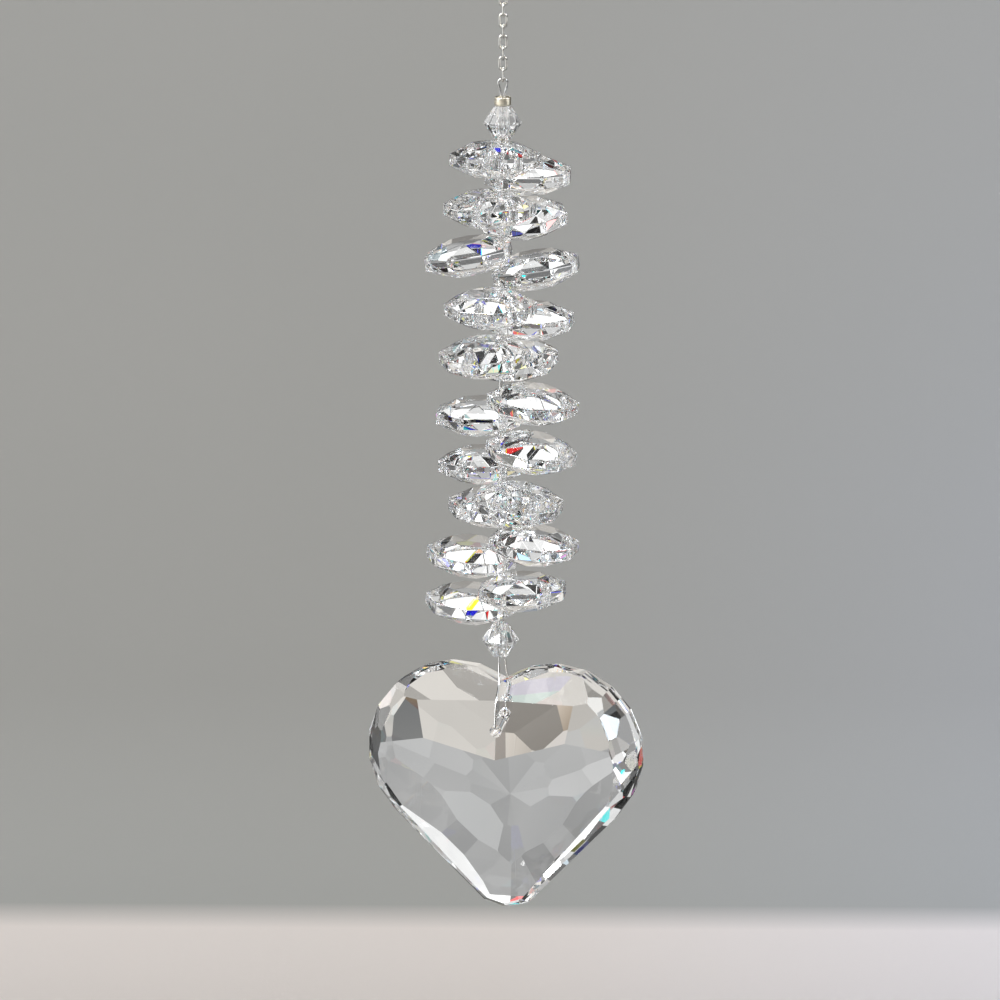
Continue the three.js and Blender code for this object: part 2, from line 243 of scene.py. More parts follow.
def swept_tube(path: np.ndarray, plane: np.ndarray, radius: float, sides: int) -> Shape:
    """Carries a round section along a flat closed path.

    A point is the path's point plus radius times (cos a times the path's outward direction plus
    sin a times the plane's normal), for angles a round the section.

    Args:
        path: One row for each point of the path.
        plane: The unit normal of the plane that the path lies in.
        radius: The section's radius.
        sides: How many points the section has.

    Returns:
        The points and the faces.
    """
    along = np.roll(path, -1, axis=0) - np.roll(path, 1, axis=0)
    along /= np.linalg.norm(along, axis=1, keepdims=True)
    outward = np.cross(along, plane)
    turn = 2 * np.pi * np.arange(sides) / sides
    spokes = outward[:, None, :] * np.cos(turn)[None, :, None] + plane * np.sin(turn)[None, :, None]
    points = path[:, None, :] + radius * spokes
    return points.reshape(-1, 3), grid_faces(len(path), sides, True).tolist()


def turned(profile: np.ndarray, sides: int, middle: np.ndarray) -> Shape:
    """Turns a closed profile about the vertical axis.

    A point is (r cos a, r sin a, z) from the middle, for each (r, z) of the profile.

    Args:
        profile: One row of radius and height for each point.
        sides: How many steps go round.
        middle: Where the axis and height 0 are.

    Returns:
        The points and the faces.
    """
    turn = 2 * np.pi * np.arange(sides) / sides
    radius = profile[:, 0][:, None]
    height = np.broadcast_to(profile[:, 1][:, None], (len(profile), sides))
    points = np.stack([radius * np.cos(turn), radius * np.sin(turn), height], -1) + middle
    return points.reshape(-1, 3), grid_faces(len(profile), sides, True).tolist()


def box_middle(node: str) -> Vector:
    """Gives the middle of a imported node's box."""
    low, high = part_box(node)
    return (Vector(low) + Vector(high)) / 2


# Small tools for materials


class Tree:
    """Adds nodes to a node tree and joins them."""

    def __init__(self, tree: bpy.types.NodeTree) -> None:
        """Starts on a tree that already exists."""
        self.tree = tree

    def add(self, kind: str, **values: object) -> Node:
        """Adds a node, sets its properties, and sets its sockets by name with spaces as underscores.

        Args:
            kind: The node's type.
            values: Its properties and plain socket values.

        Returns:
            The node.
        """
        node = self.tree.nodes.new(kind)
        for name, value in values.items():
            if hasattr(node, name):
                setattr(node, name, value)
            else:
                node.inputs[name.replace("_", " ")].default_value = value
        return node

    def join(self, start: Socket, end: Socket) -> None:
        """Joins an output to an input."""
        self.tree.links.new(start, end)

    def math(self, operation: str, first: object, second: object = 0.0, third: object = 0.0) -> Socket:
        """Adds one step of arithmetic.

        Args:
            operation: What it does.
            first: A number or an output.
            second: A number or an output.
            third: A number or an output.

        Returns:
            The result's output.
        """
        node = self.tree.nodes.new("ShaderNodeMath")
        node.operation = operation
        for slot, value in zip(node.inputs, (first, second, third)):
            if isinstance(value, Socket):
                self.join(value, slot)
            else:
                slot.default_value = value
        return node.outputs[0]

    def vector(self, operation: str, *values: object) -> Socket:
        """Adds one step of arithmetic on rows of three.

        Args:
            operation: What it does.
            values: Outputs, rows of three, or numbers that stand for three the same.

        Returns:
            The result's output, which is a single number for a dot product.
        """
        node = self.tree.nodes.new("ShaderNodeVectorMath")
        node.operation = operation
        for slot, value in zip(node.inputs, values):
            if isinstance(value, Socket):
                self.join(value, slot)
            else:
                slot.default_value = (value,) * 3 if isinstance(value, (int, float)) else tuple(value)
        return node.outputs["Value" if operation == "DOT_PRODUCT" else "Vector"]

    def share(self, value: Socket, low: float, high: float) -> Socket:
        """Runs a number from 0 at one level to 1 at another."""
        node = self.add("ShaderNodeMapRange", From_Min=low, From_Max=high)
        self.join(value, node.inputs["Value"])
        return node.outputs[0]

    def between(self, value: Socket, low: float, high: float) -> Socket:
        """Runs each of a row of three from 0 at one level to 1 at another."""
        node = self.add("ShaderNodeMapRange", data_type="FLOAT_VECTOR")
        self.join(value, node.inputs[6])
        node.inputs[7].default_value = (low,) * 3
        node.inputs[8].default_value = (high,) * 3
        return node.outputs[1]

    def background(self, light: Socket | Triple) -> Socket:
        """Adds a background of one light and gives its shader."""
        node = self.add("ShaderNodeBackground")
        if isinstance(light, Socket):
            self.join(light, node.inputs["Color"])
        else:
            node.inputs["Color"].default_value = (*light, 1.0)
        return node.outputs[0]

    def choose(self, ray: Socket, other: Socket, chosen: Socket) -> Socket:
        """Gives one kind of ray its own shader, and every other kind the one it had."""
        node = self.add("ShaderNodeMixShader")
        for start, slot in zip((ray, other, chosen), node.inputs):
            self.join(start, slot)
        return node.outputs[0]

    def noise(self, place: Socket, scale: float, detail: float) -> Socket:
        """Adds a noise pattern and gives its plain value from 0 to 1."""
        node = self.add("ShaderNodeTexNoise", Scale=scale, Detail=detail)
        self.join(place, node.inputs["Vector"])
        return node.outputs[0]


def new_group(name: str, inputs: dict[str, float], outputs: tuple[str, ...]) -> tuple[Tree, Node, Node]:
    """Makes an empty shader group with number sockets and one place input.

    Args:
        name: The group's name.
        inputs: Each number input's name and usual value.
        outputs: Each number output's name.

    Returns:
        The group's tree, its input node and its output node.
    """
    group = bpy.data.node_groups.new(name, "ShaderNodeTree")
    group.interface.new_socket("Place", in_out="INPUT", socket_type="NodeSocketVector")
    for label, value in inputs.items():
        socket = group.interface.new_socket(label, in_out="INPUT", socket_type="NodeSocketFloat")
        socket.default_value = value
    for label in outputs:
        group.interface.new_socket(label, in_out="OUTPUT", socket_type="NodeSocketFloat")
    tree = Tree(group)
    return tree, tree.add("NodeGroupInput"), tree.add("NodeGroupOutput")


class Marks:
    """Builds the one shared group of handling marks and places it in materials."""

    group: bpy.types.NodeTree | None = None
    film_levels: tuple[float, float] = (0.42, 0.72)
    scratch_levels: tuple[float, float] = (0.66, 0.74)
    scratch_turns: tuple[float, float] = (0.6, -0.9)
    scratch_stretch: Triple = (1.0, 0.04, 0.04)

    @classmethod
    def build(cls) -> bpy.types.NodeTree:
        """Builds the marks of handling: faint cloudy film, and fine scratches both ways.

        Film is noise between two levels. Scratches are the greater of two noises that are
        stretched into streaks and turned two ways, cut down to their highest crests.

        Returns:
            A group whose Film and Scratches run from 0 to 1.
        """
        sizes = {"Film Size": 150.0, "Scratch Size": 900.0}
        tree, given, made = new_group("handling_marks", sizes, ("Film", "Scratches"))
        film = tree.add("ShaderNodeTexNoise", Detail=4.0, Roughness=0.6)
        tree.join(given.outputs["Place"], film.inputs["Vector"])
        tree.join(given.outputs["Film Size"], film.inputs["Scale"])
        tree.join(tree.share(film.outputs[0], *cls.film_levels), made.inputs["Film"])
        streaks = [cls.streaks(tree, given, turn) for turn in cls.scratch_turns]
        tree.join(tree.math("MAXIMUM", *streaks), made.inputs["Scratches"])
        return tree.tree

    @classmethod
    def streaks(cls, tree: Tree, given: Node, turn: float) -> Socket:
        """Adds the scratches that run one way.

        Args:
            tree: The group's tree.
            given: The group's input node.
            turn: The way they run, as one angle about all three axes.

        Returns:
            The output that is 1 on a scratch and 0 off it.
        """
        mapping = tree.add("ShaderNodeMapping", Rotation=(turn, turn, turn), Scale=cls.scratch_stretch)
        tree.join(given.outputs["Place"], mapping.inputs["Vector"])
        streak = tree.add("ShaderNodeTexNoise", Detail=2.0)
        tree.join(mapping.outputs[0], streak.inputs["Vector"])
        tree.join(given.outputs["Scratch Size"], streak.inputs["Scale"])
        return tree.share(streak.outputs[0], *cls.scratch_levels)

    @classmethod
    def place(cls, tree: Tree, where: Socket, film: float, scratch: float) -> Node:
        """Puts the group in a material.

        Args:
            tree: The material's tree.
            where: The place it reads.
            film: How fine the film's pattern is.
            scratch: How fine the scratches are.

        Returns:
            The group's node.
        """
        if cls.group is None:
            cls.group = cls.build()
        node = tree.add("ShaderNodeGroup", node_tree=cls.group)
        tree.join(where, node.inputs["Place"])
        node.inputs["Film Size"].default_value = film
        node.inputs["Scratch Size"].default_value = scratch
        return node


def blank_material(name: str) -> tuple[Material, Tree, Node, Socket]:
    """Makes a material with its shader and the piece's own coordinates.

    Args:
        name: The material's name.

    Returns:
        The material, its tree, its shader, and the output that gives object coordinates.
    """
    material = bpy.data.materials.new(name)
    material.use_nodes = True
    tree = Tree(material.node_tree)
    shader = material.node_tree.nodes["Principled BSDF"]
    place = tree.add("ShaderNodeTexCoord").outputs["Object"]
    return material, tree, shader, place


def tint_between(tree: Tree, shader: Node, amount: Socket, first: Triple, second: Triple) -> None:
    """Runs the shader's base colour from one tint to another by an amount.

    Args:
        tree: The material's tree.
        shader: The shader.
        amount: The mask from 0 to 1.
        first: The colour at 0.
        second: The colour at 1.
    """
    ramp = tree.add("ShaderNodeValToRGB")
    ramp.color_ramp.elements[0].color = (*first, 1.0)
    ramp.color_ramp.elements[1].color = (*second, 1.0)
    tree.join(amount, ramp.inputs[0])
    tree.join(ramp.outputs[0], shader.inputs["Base Color"])


def rough_between(tree: Tree, shader: Node, amount: Socket, low: float, high: float) -> None:
    """Runs the shader's roughness from low to high by an amount."""
    spread = tree.add("ShaderNodeMapRange", To_Min=low, To_Max=high)
    tree.join(amount, spread.inputs["Value"])
    tree.join(spread.outputs[0], shader.inputs["Roughness"])


def raise_by(tree: Tree, shader: Node, height: Socket, strength: float, depth: float) -> None:
    """Bumps the surface by a height pattern, with its strength and its depth in metres."""
    bump = tree.add("ShaderNodeBump", Strength=strength, Distance=depth)
    tree.join(height, bump.inputs["Height"])
    tree.join(bump.outputs[0], shader.inputs["Normal"])


def make_glass(shader: Node) -> None:
    """Sets a shader to clear glass on plain values."""
    shader.inputs["Metallic"].default_value = 0.0
    shader.inputs["Transmission Weight"].default_value = 1.0
    shader.inputs["IOR"].default_value = CRYSTAL_BEND


@dataclass(frozen=True)
class CutCrystal:
    """Clear polished crystal, with a faint film and fine scratches from handling."""

    name: str
    clear: Triple = (0.985, 0.99, 0.995)
    filmed: Triple = (0.955, 0.965, 0.975)
    polish: float = 0.0
    film: float = 0.012
    film_size: float = 140.0
    scratch_size: float = 1100.0
    scratch_strength: float = 0.15
    scratch_depth: float = 0.004 * MM

    def material(self) -> Material:
        """Builds the material."""
        material, tree, shader, place = blank_material(self.name)
        make_glass(shader)
        marks = Marks.place(tree, place, self.film_size, self.scratch_size)
        tint_between(tree, shader, marks.outputs["Film"], self.clear, self.filmed)
        rough_between(tree, shader, marks.outputs["Film"], self.polish, self.film)
        raise_by(tree, shader, marks.outputs["Scratches"], self.scratch_strength, self.scratch_depth)
        return material


class BoreWay(Enum):
    """Which way a drilled hole runs, as the stretch of its drill marks along X, Y and Z."""

    UPRIGHT = (1.0, 1.0, 0.06)
    THROUGH = (1.0, 0.06, 1.0)


@dataclass(frozen=True)
class GroundBore:
    """The ground wall of a drilled hole, frosted, with fine marks along the drill's way."""

    name: str
    way: BoreWay
    pale: Triple = (0.97, 0.975, 0.98)
    milky: Triple = (0.88, 0.89, 0.90)
    smooth: float = 0.1
    frosted: float = 0.38
    streak_size: float = 5200.0
    streak_strength: float = 0.5
    streak_depth: float = 0.03 * MM

    def material(self) -> Material:
        """Builds the material."""
        material, tree, shader, place = blank_material(self.name)
        make_glass(shader)
        mapping = tree.add("ShaderNodeMapping", Scale=self.way.value)
        tree.join(place, mapping.inputs["Vector"])
        streaks = tree.noise(mapping.outputs[0], self.streak_size, 3.0)
        tint_between(tree, shader, streaks, self.pale, self.milky)
        rough_between(tree, shader, streaks, self.smooth, self.frosted)
        raise_by(tree, shader, streaks, self.streak_strength, self.streak_depth)
        return material


@dataclass(frozen=True)
class PlatedMetal:
    """Bright metal with drawn or polishing marks, and dull tarnish in places."""

    name: str
    bright: Triple
    dull: Triple
    polish: float
    worn: float
    film_size: float = 900.0
    mark_size: float = 5200.0
    mark_strength: float = 0.4
    mark_depth: float = 0.01 * MM
    mark_share: float = 0.5

    def material(self) -> Material:
        """Builds the material."""
        material, tree, shader, place = blank_material(self.name)
        shader.inputs["Metallic"].default_value = 1.0
        marks = Marks.place(tree, place, self.film_size, self.mark_size)
        tint_between(tree, shader, marks.outputs["Film"], self.bright, self.dull)
        scratches = marks.outputs["Scratches"]
        wear = tree.math("ADD", marks.outputs["Film"], tree.math("MULTIPLY", scratches, self.mark_share))
        rough_between(tree, shader, tree.math("MINIMUM", wear, 1.0), self.polish, self.worn)
        raise_by(tree, shader, scratches, self.mark_strength, self.mark_depth)
        return material


# Sub-assemblies


def dress(piece: Piece, nodes: tuple[str, ...], finishes: tuple[Material, ...]) -> None:
    """Gives a piece its finishes, sets it on the body, and says what it stands for.

    Args:
        piece: The piece.
        nodes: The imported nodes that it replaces.
        finishes: Its materials, in the order of its faces' numbers.
    """
    piece.data.materials.clear()
    for material in finishes:
        piece.data.materials.append(material)
    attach(piece, "root")
    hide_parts(*nodes)
    LOG.info("%s stands for %s, %d faces", piece.name, ", ".join(nodes), len(piece.data.polygons))


@dataclass
class Hanger:
    """The hanging ring and the fine chain under it."""

    ring_outer: float = 9.0 * MM
    ring_wire: float = 0.6 * MM
    link_count: int = 9
    link_width: float = 1.5 * MM
    link_wire: float = 0.38 * MM
    ring_steps: int = 96
    bend_steps: int = 12
    section: int = 14
    steel: PlatedMetal = field(default_factory=lambda: PlatedMetal(
        "polished_steel", (0.87, 0.855, 0.81), (0.58, 0.565, 0.53), 0.05, 0.2))

    def ring_path(self) -> np.ndarray:
        """Works out the ring's middle line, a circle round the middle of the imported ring's box."""
        turn = 2 * np.pi * np.arange(self.ring_steps) / self.ring_steps
        radius = (self.ring_outer - self.ring_wire) / 2
        middle = np.array(box_middle("hanging_ring"))
        return middle + radius * np.stack([np.cos(turn), 0 * turn, np.sin(turn)], -1)

    def link_path(self, node: str) -> tuple[np.ndarray, np.ndarray]:
        """Works out a link's middle line: two half circles with straight sides between them.

        Args:
            node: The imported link, whose box says where the link is and which way it faces.

        Returns:
            The path, and the normal of its plane.
        """
        low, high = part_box(node)
        size = Vector(high) - Vector(low)
        across = np.array([1.0, 0.0, 0.0]) if size.x > size.y else np.array([0.0, 1.0, 0.0])
        plane = np.array([across[1], across[0], 0.0])
        bend = (self.link_width - self.link_wire) / 2
        straight = (size.z - self.link_wire) / 2 - bend
        half_turn = np.linspace(0, np.pi, self.bend_steps)
        turn = np.concatenate([half_turn, np.pi + half_turn])
        shift = np.repeat([straight, -straight], self.bend_steps)
        up = np.array([0.0, 0.0, 1.0])
        path = np.outer(bend * np.cos(turn), across) + np.outer(bend * np.sin(turn) + shift, up)
        return np.array(box_middle(node)) + path, plane

    def build(self) -> None:
        """Makes the ring and the links, dresses them, and sets them on the body."""
        material = self.steel.material()
        plane = np.array([0.0, 1.0, 0.0])
        points, faces = swept_tube(self.ring_path(), plane, self.ring_wire / 2, self.section)
        ring = new_piece("steel_hanging_ring", points, faces, True)
        dress(ring, ("hanging_ring",), (material,))
        for number in range(1, self.link_count + 1):
            node = f"chain_link_{number:02d}"
            path, plane = self.link_path(node)
            points, faces = swept_tube(path, plane, self.link_wire / 2, self.section)
            link = new_piece(f"steel_{node}", points, faces, True)
            dress(link, (node,), (material,))


@dataclass
class Threading:
    """The wire with its eye and long loop, and the crimp collar that closes it."""

    collar_height: float = 1.4 * MM
    collar_width: float = 2.7 * MM
    collar_bore: float = 1.0 * MM
    collar_easing: float = 0.25 * MM
    collar_sides: int = 64
    collar_steps: int = 16
    collar_squareness: float = 0.45
    crimp_depth: float = 0.05 * MM
    crimp_spread: float = 0.5
    crimp_waist: float = 0.45
    swell: float = 0.03 * MM
    rounding_steps: int = 2
    # Nearly half a turn, so that any two triangles may join
    join_angle: float = 3.1
    wire_steel: PlatedMetal = field(default_factory=lambda: PlatedMetal(
        "drawn_steel_wire", (0.82, 0.815, 0.80), (0.56, 0.555, 0.54), 0.06, 0.22))
    gilt: PlatedMetal = field(default_factory=lambda: PlatedMetal(
        "gilt_collar", (0.88, 0.82, 0.68), (0.70, 0.63, 0.49), 0.42, 0.62))

    def wire(self) -> Piece:
        """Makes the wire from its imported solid, swelled a little and then rounded by subdivision."""
        piece = cad_copy("threading_wire", "steel_threading_wire")
        worker = bmesh.new()
        worker.from_mesh(piece.data)
        bmesh.ops.triangulate(worker, faces=worker.faces)
        bmesh.ops.join_triangles(worker, faces=worker.faces, angle_face_threshold=self.join_angle,
                                 angle_shape_threshold=self.join_angle)
        for corner in worker.verts:
            corner.co += corner.normal * self.swell
        worker.to_mesh(piece.data)
        worker.free()
        rounding = piece.modifiers.new("rounding", "SUBSURF")
        rounding.levels = self.rounding_steps
        rounding.render_levels = self.rounding_steps
        bake_modifiers(piece)
        piece.data.polygons.foreach_set("use_smooth", np.ones(len(piece.data.polygons), dtype=bool))
        return piece

    def collar(self) -> Piece:
        """Makes the collar: a turned profile with eased rims and two shallow crimped flats.

        The outside is a squared arc: height is half times sin a to a power below 1, and the
        radius falls by the easing times (1 minus cos a to that power). The crimps take the
        depth times two bell curves, one round the collar and one up it.

        Returns:
            The collar.
        """
        half = self.collar_height / 2
        outside = self.collar_width / 2
        turn = np.linspace(-np.pi / 2, np.pi / 2, self.collar_steps)
        squared = np.sign(np.sin(turn)) * np.abs(np.sin(turn)) ** self.collar_squareness
        bulge = outside - self.collar_easing * (1 - np.abs(np.cos(turn)) ** self.collar_squareness)
        outer = np.stack([bulge, half * squared], -1)
        inner = np.array([[self.collar_bore / 2, half], [self.collar_bore / 2, -half]])
        points, faces = turned(np.concatenate([outer, inner]), self.collar_sides, np.zeros(3))
        angle = np.arctan2(points[:, 1], points[:, 0])
        radius = np.hypot(points[:, 0], points[:, 1])
        on_outside = radius > (outside + self.collar_bore / 2) / 2
        flat = np.exp(-((np.abs(angle) - np.pi / 2) / self.crimp_spread) ** 2) * on_outside
        waist = np.exp(-(points[:, 2] / (self.crimp_waist * half)) ** 2)
        points[:, :2] *= (1 - self.crimp_depth * flat * waist / radius)[:, None]
        return new_piece("gilt_crimp_collar", points + np.array(box_middle("crimp_collar")), faces, True)

    def build(self) -> None:
        """Makes the wire and the collar, dresses them, and sets them on the body."""
        dress(self.wire(), ("threading_wire",), (self.wire_steel.material(),))
        dress(self.collar(), ("crimp_collar",), (self.gilt.material(),))


# The way each octagon bead points, seen from above, and the droop of its outer end, in degrees
BEAD_PLACES = (
    (-102, -3), (43, -1), (-111, 0), (53, -8), (176, 10), (-4, -10), (-109, 3), (36, -1),
    (-119, 6), (71, -10), (-24, 6), (129, 0), (-28, 8), (121, 2), (-61, 9), (103, -3),
    (-14, 4), (149, -6), (-50, -3), (152, -5),
)


@dataclass
class BeadColumn:
    """The octagon beads and the two bicone beads, each a cut stone with ground bores."""

    flats: float = 14.0 * MM
    thick: float = 5.4 * MM
    table: float = 7.2 * MM
    rim: float = 1.9 * MM
    hole_in: float = 1.4 * MM
    hole: float = 1.64 * MM
    bicone_width: float = 6.3 * MM
    bicone_height: float = 5.5 * MM
    bicone_end: float = 2.7 * MM
    sides: int = 8
    edge: float = 0.07 * MM
    bore_sides: int = 28
    crystal: CutCrystal = CutCrystal("bead_crystal")
    ground: GroundBore = GroundBore("bead_ground_bore", BoreWay.UPRIGHT)

    def octagon_rings(self) -> np.ndarray:
        """Works out the bead's corners: four level octagons, the tables' turned half a step."""
        levels = (
            (self.table, -self.thick / 2, 0.0), (self.flats, -self.rim / 2, 0.5),
            (self.flats, self.rim / 2, 0.5), (self.table, self.thick / 2, 0.0),
        )
        rings = []
        for across, height, step in levels:
            turn = 2 * np.pi * (np.arange(self.sides) + step) / self.sides
            radius = across / 2 / math.cos(math.pi / self.sides)
            level = np.full(self.sides, height)
            rings.append(np.stack([radius * np.cos(turn), radius * np.sin(turn), level], -1))
        return np.concatenate(rings)

    def octagon_faces(self) -> Faces:
        """Lists the bead's faces: two tables, triangles down to the rims, and the rim's sides."""
        count = self.sides
        low_rim, high_rim, high_table = count, 2 * count, 3 * count
        faces = [list(range(count - 1, -1, -1)), list(range(high_table, high_table + count))]
        for i in range(count):
            after = (i + 1) % count
            before = (i - 1) % count
            faces.append([i, after, low_rim + i])
            faces.append([i, low_rim + i, low_rim + before])
            faces.append([low_rim + i, low_rim + after, high_rim + after, high_rim + i])
            faces.append([high_rim + i, high_table + after, high_table + i])
            faces.append([high_rim + before, high_rim + i, high_table + i])
        return faces

    def octagon(self) -> Piece:
        """Cuts one octagon bead about its own middle, with a bore near each end."""
        piece = new_piece("octagon_pattern", self.octagon_rings(), self.octagon_faces(), False)
        ease_edges(piece, self.edge, BEAD_EDGE_ANGLE)
        for side in (-1, 1):
            out = side * (self.flats / 2 - self.hole_in)
            start = Vector((out, 0.0, -self.thick))
            bore(piece, start, Vector((out, 0.0, self.thick)), self.hole / 2, self.bore_sides)
        return piece

    def bicone(self) -> Piece:
        """Cuts one bicone bead about its own middle, with a bore down its axis."""
        turn = 2 * np.pi * np.arange(self.sides) / self.sides
        ring = np.stack([np.cos(turn), np.sin(turn), 0 * turn], -1)
        end_ring = self.bicone_end / 2 * ring
        up = np.array([0.0, 0.0, self.bicone_height / 2])
        points = np.concatenate([end_ring - up, self.bicone_width / 2 * ring, end_ring + up])
        faces = grid_faces(3, self.sides, False).tolist()
        faces.append(list(range(self.sides)))
        faces.append(list(range(2 * self.sides, 3 * self.sides)))
        piece = new_piece("bicone_pattern", points, faces, False)
        ease_edges(piece, self.edge, BEAD_EDGE_ANGLE)
        end = Vector((0.0, 0.0, self.bicone_height))
        bore(piece, -end, end, self.hole / 2, self.bore_sides)
        return piece

    def set_out(self, pattern: Piece, name: str, place: Matrix) -> Piece:
        """Copies a pattern bead and puts its place into its mesh."""
        mesh = pattern.data.copy()
        mesh.transform(place)
        return add_object(name, mesh)

    def build(self) -> None:
        """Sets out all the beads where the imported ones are, dresses them, and drops the patterns."""
        finishes = (self.crystal.material(), self.ground.material())
        octagon = self.octagon()
        for number, (turn, droop) in enumerate(BEAD_PLACES, start=1):
            node = f"octagon_bead_{number:02d}"
            spin = Matrix.Rotation(math.radians(turn), 4, "Z")
            tip = Matrix.Rotation(math.radians(droop), 4, "Y")
            place = Matrix.Translation(box_middle(node)) @ spin @ tip
            dress(self.set_out(octagon, f"cut_{node}", place), (node,), finishes)
        bicone = self.bicone()
        for node in ("top_bicone_bead", "bottom_bicone_bead"):
            place = Matrix.Translation(box_middle(node))
            dress(self.set_out(bicone, f"cut_{node}", place), (node,), finishes)
        bpy.data.objects.remove(octagon)
        bpy.data.objects.remove(bicone)


@dataclass
class HeartPrism:
    """The heart, cut on both sides, with its hole under the notch."""

    turn: float = 15.0
    hole: float = 2.04 * MM
    hole_drop: float = 11.5 * MM
    shift: float = 0.8 * MM
    edge: float = 0.1 * MM
    reach: float = 30.0 * MM
    bore_sides: int = 36
    crystal: CutCrystal = CutCrystal("heart_crystal")
    ground: GroundBore = GroundBore("heart_ground_bore", BoreWay.THROUGH)

    def build(self) -> None:
        """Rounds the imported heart's hole, eases its edges, dresses it and sets it on the body."""
        piece = cad_copy("heart_prism", "cut_heart_prism")
        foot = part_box("bottom_bicone_bead")[0][2]
        middle = Vector((self.shift, 0.0, foot - self.hole_drop))
        way = Matrix.Rotation(math.radians(-self.turn), 3, "Z") @ Vector((0.0, 1.0, 0.0))
        bore(piece, middle - self.reach * way, middle + self.reach * way, self.hole / 2, self.bore_sides)
        join_flat_faces(piece)
        ease_edges(piece, self.edge, HEART_EDGE_ANGLE)
        mesh = piece.data
        finish = np.empty(len(mesh.polygons), dtype=np.int32)
        mesh.polygons.foreach_get("material_index", finish)
        mesh.polygons.foreach_set("use_smooth", finish == 1)
        finishes = (self.crystal.material(), self.ground.material())
        dress(piece, ("heart_prism",), finishes)


# Setting: camera, floor, light


@dataclass(frozen=True)
class Viewpoint:
    """The photograph's viewing angle and frame."""

    elevation: float = 13.5
    distance: float = 0.9
    lens: float = 196.7
    sensor: float = 36.0
    far_end: float = 20.0
    roll: float = 0.27
    aim: Triple = (-0.15 * MM, 0.0, -93.5 * MM)

    def build(self) -> None:
        """Makes the camera and gives it to the scene."""
        data = bpy.data.cameras.new("camera")
        data.lens = self.lens
        data.sensor_width = self.sensor
        data.clip_end = self.far_end
        camera = add_object("camera", data)
        tilt = math.radians(self.elevation)
        back = Vector((0.0, -math.cos(tilt), math.sin(tilt)))
        facing = back.to_track_quat("Z", "Y").to_matrix().to_4x4()
        lean = Matrix.Rotation(math.radians(self.roll), 4, "Z")
        camera.matrix_world = Matrix.Translation(Vector(self.aim) + self.distance * back) @ facing @ lean
        bpy.context.scene.camera = camera


@dataclass(frozen=True)
class Sweep:
    """A pale floor that rises in a soft curve to a grey wall. Crystal and metal don't meet it."""

    floor: float = -0.66
    wall: float = 1.5
    front: float = -1.6
    half_width: float = 2.2
    bend: float = 0.12
    bend_steps: int = 24
    top: float = 1.2
    pale: Triple = (0.80, 0.745, 0.71)
    grey: Triple = (0.395, 0.4, 0.385)
    # Painted light: the tint that makes the paper lighter and cooler low on the right
    painted_cool_light: Triple = (1.08, 1.12, 1.22)
    grey_from: float = 0.022
    grey_at: float = 0.03
    unevenness: float = 0.12
    patch_size: float = 3.0
    # How far right and how far down the painted light grows to its full strength
    painted_light_right: float = 0.25
    painted_light_down: float = -0.45
    roughness: float = 0.9

    def build(self) -> None:
        """Makes the sweep as a profile carried sideways, and hides it from glossy and transmission rays.
        """
        turn = np.linspace(0, np.pi / 2, self.bend_steps)
        start = self.wall - self.bend
        curve_depth = start + self.bend * np.sin(turn)
        curve_height = self.floor + self.bend * (1 - np.cos(turn))
        curve = np.stack([curve_depth, curve_height], -1)
        profile = np.concatenate([[[self.front, self.floor]], curve, [[self.wall, self.top]]])
        sides = np.array([-self.half_width, self.half_width])
        count = len(profile)
        depths = np.tile(profile[:, 0], 2)
        points = np.stack([np.repeat(sides, count), depths, np.tile(profile[:, 1], 2)], -1)
        row = np.arange(count - 1)
        faces = np.stack([row, row + 1, row + count + 1, row + count], -1).tolist()
        piece = new_piece("sweep", points, faces, True)
        piece.data.materials.append(self.paper())
        piece.visible_transmission = False
        piece.visible_glossy = False

    def paper(self) -> Material:
        """Makes the paper: pale on the floor, grey up the wall, and a painted cool light low on the
        right.

        The height above the floor, made a little uneven by noise, turns pale to grey. Painted
        light, a lighter and cooler tint, grows with the product of the way right and the way down.

        Returns:
            The paper's material.
        """
        material, tree, shader, place = blank_material("sweep_paper")
        parts = tree.add("ShaderNodeSeparateXYZ")
        tree.join(place, parts.inputs[0])
        rise = tree.share(parts.outputs["Z"], self.floor + self.grey_from, self.floor + self.grey_at)
        noise = tree.noise(place, self.patch_size, 2.0)
        uneven = tree.math("MULTIPLY_ADD", noise, self.unevenness, -self.unevenness / 2)
        tint_between(tree, shader, tree.math("ADD", rise, uneven), self.pale, self.grey)
        # Painted light: the paper is made lighter and cooler low on the right
        right = tree.share(parts.outputs["X"], 0.0, self.painted_light_right)
        down = tree.share(parts.outputs["Z"], 0.0, self.painted_light_down)
        painted_cool_light = tree.add("ShaderNodeMix", data_type="RGBA", blend_type="MULTIPLY")
        tree.join(tree.math("MULTIPLY", right, down), painted_cool_light.inputs[0])
        tree.join(shader.inputs["Base Color"].links[0].from_socket, painted_cool_light.inputs[6])
        painted_cool_light.inputs[7].default_value = (*self.painted_cool_light, 1.0)
        tree.join(painted_cool_light.outputs[2], shader.inputs["Base Color"])
        shader.inputs["Roughness"].default_value = self.roughness
        return material


@dataclass(frozen=True)
class Card:
    """One round card hung about the crystal: a bright panel, or a black card if light is below 0."""

    azimuth: float
    elevation: float
    radius: float
    light: float

    def way(self) -> Vector:
        """Gives the direction of its middle."""
        around = math.radians(self.azimuth)
        up = math.radians(self.elevation)
        return Vector((math.cos(up) * math.cos(around), math.cos(up) * math.sin(around), math.sin(up)))


